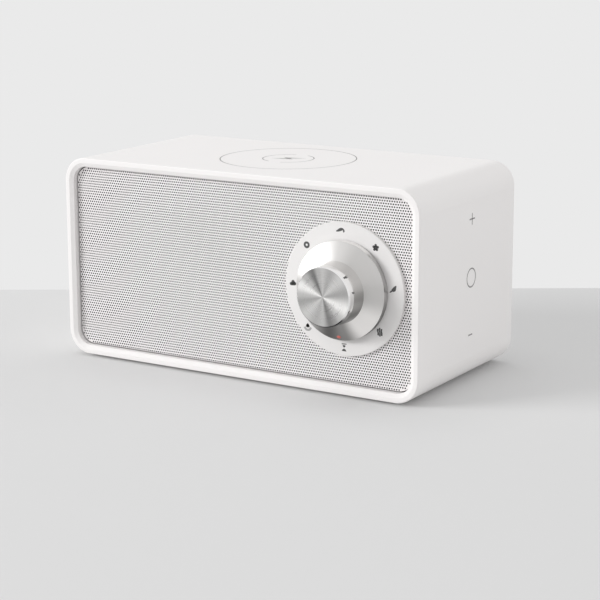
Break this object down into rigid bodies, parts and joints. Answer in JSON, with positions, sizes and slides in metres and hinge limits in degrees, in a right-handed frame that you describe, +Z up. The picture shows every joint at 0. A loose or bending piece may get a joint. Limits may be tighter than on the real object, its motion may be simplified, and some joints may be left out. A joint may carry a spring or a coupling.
{
  "type": "white noise sound machine",
  "caption": "Rounded white box with a perforated front, a turned aluminium selector knob on a round dial plate, a charging pad in the top and touch marks on the side.",
  "frame": {"origin": "centre of the body's footprint on the surface it stands on, on the underside of its base pad", "axes": "+X to the object's right along its longest side, -Y out of the perforated front, +Z up"},
  "size_m": [0.18, 0.104, 0.0909],
  "materials": {
    "white_shell": "satin white",
    "pad_silicone": "matt grey silicone",
    "gasket_foam": "closed-cell foam",
    "screw_steel": "plated",
    "grille_white": "powder coated white",
    "cloth_grey": "fine woven",
    "dark_plastic": "moulded",
    "dial_white": "satin white",
    "knob_aluminium": "turned, satin face",
    "indicator_red": "glossy",
    "selector_metal": "die cast",
    "board_green": "solder mask",
    "basket_black": "satin black",
    "cone_paper": "pressed pulp",
    "surround_rubber": "matt",
    "spider_cloth": "resin treated",
    "former_film": "amber film",
    "copper": "enamelled wire",
    "motor_steel": "zinc plated",
    "ferrite": "sintered",
    "touch_foam": "conductive foam",
    "component_black": "moulded",
    "connector_cream": "moulded",
    "lead_grey": "flat ribbon",
    "socket_steel": "stamped"
  },
  "bodies": {
    "body": {"baffle_screws": "screw_steel", "base_pad": "pad_silicone", "board_components": "component_black", "board_connectors": "connector_cream", "board_screws": "screw_steel", "carrier_screws": "screw_steel", "charging_board": "board_green", "charging_coil": "copper", "coil_carrier": "dark_plastic", "coil_lead": "lead_grey", "detent_spring": "selector_metal", "dial_plate": "dial_white", "driver_basket": "basket_black", "driver_gasket": "gasket_foam", "driver_screws": "screw_steel", "driver_terminals": "dark_plastic", "ferrite_sheet": "ferrite", "front_baffle": "dark_plastic", "grille": "grille_white", "grille_cloth": "cloth_grey", "housing": "white_shell", "magnet": "ferrite", "main_board": "board_green", "rear_cover": "white_shell", "rear_gasket": "gasket_foam", "rear_screws": "screw_steel", "selector_base": "dark_plastic", "selector_board": "board_green", "selector_body": "selector_metal", "selector_lead": "lead_grey", "selector_nut": "selector_metal", "selector_washer": "selector_metal", "speaker_lead": "lead_grey", "spider": "spider_cloth", "surround": "surround_rubber", "top_plate": "motor_steel", "touch_board": "board_green", "touch_lead": "lead_grey", "touch_pads": "touch_foam", "touch_screws": "screw_steel", "usb_c_socket": "socket_steel", "yoke": "motor_steel"},
    "selector": {"knob_cap": "knob_aluminium", "knob_skirt": "knob_aluminium", "knob_hub": "dark_plastic", "knob_indicator": "indicator_red", "selector_shaft": "selector_metal"},
    "cone": {"cone": "cone_paper", "dust_cap": "cone_paper", "voice_coil_former": "former_film", "voice_coil_winding": "copper"}
  },
  "joints": [
    {"name": "selector_turn", "type": "hinge", "parent": "body", "child": "selector", "pos_m": [0.0537, -0.0444, 0.04605], "axis": [0, 1, 0], "continuous": true, "deforming": ["detent_spring"]},
    {"name": "cone_travel", "type": "slide", "parent": "body", "child": "cone", "axis": [0, -1, 0], "range_m": [-0.0012, 0.0012], "stiffness_N_per_m": 1500, "deforming": ["surround", "spider"]}
  ]
}
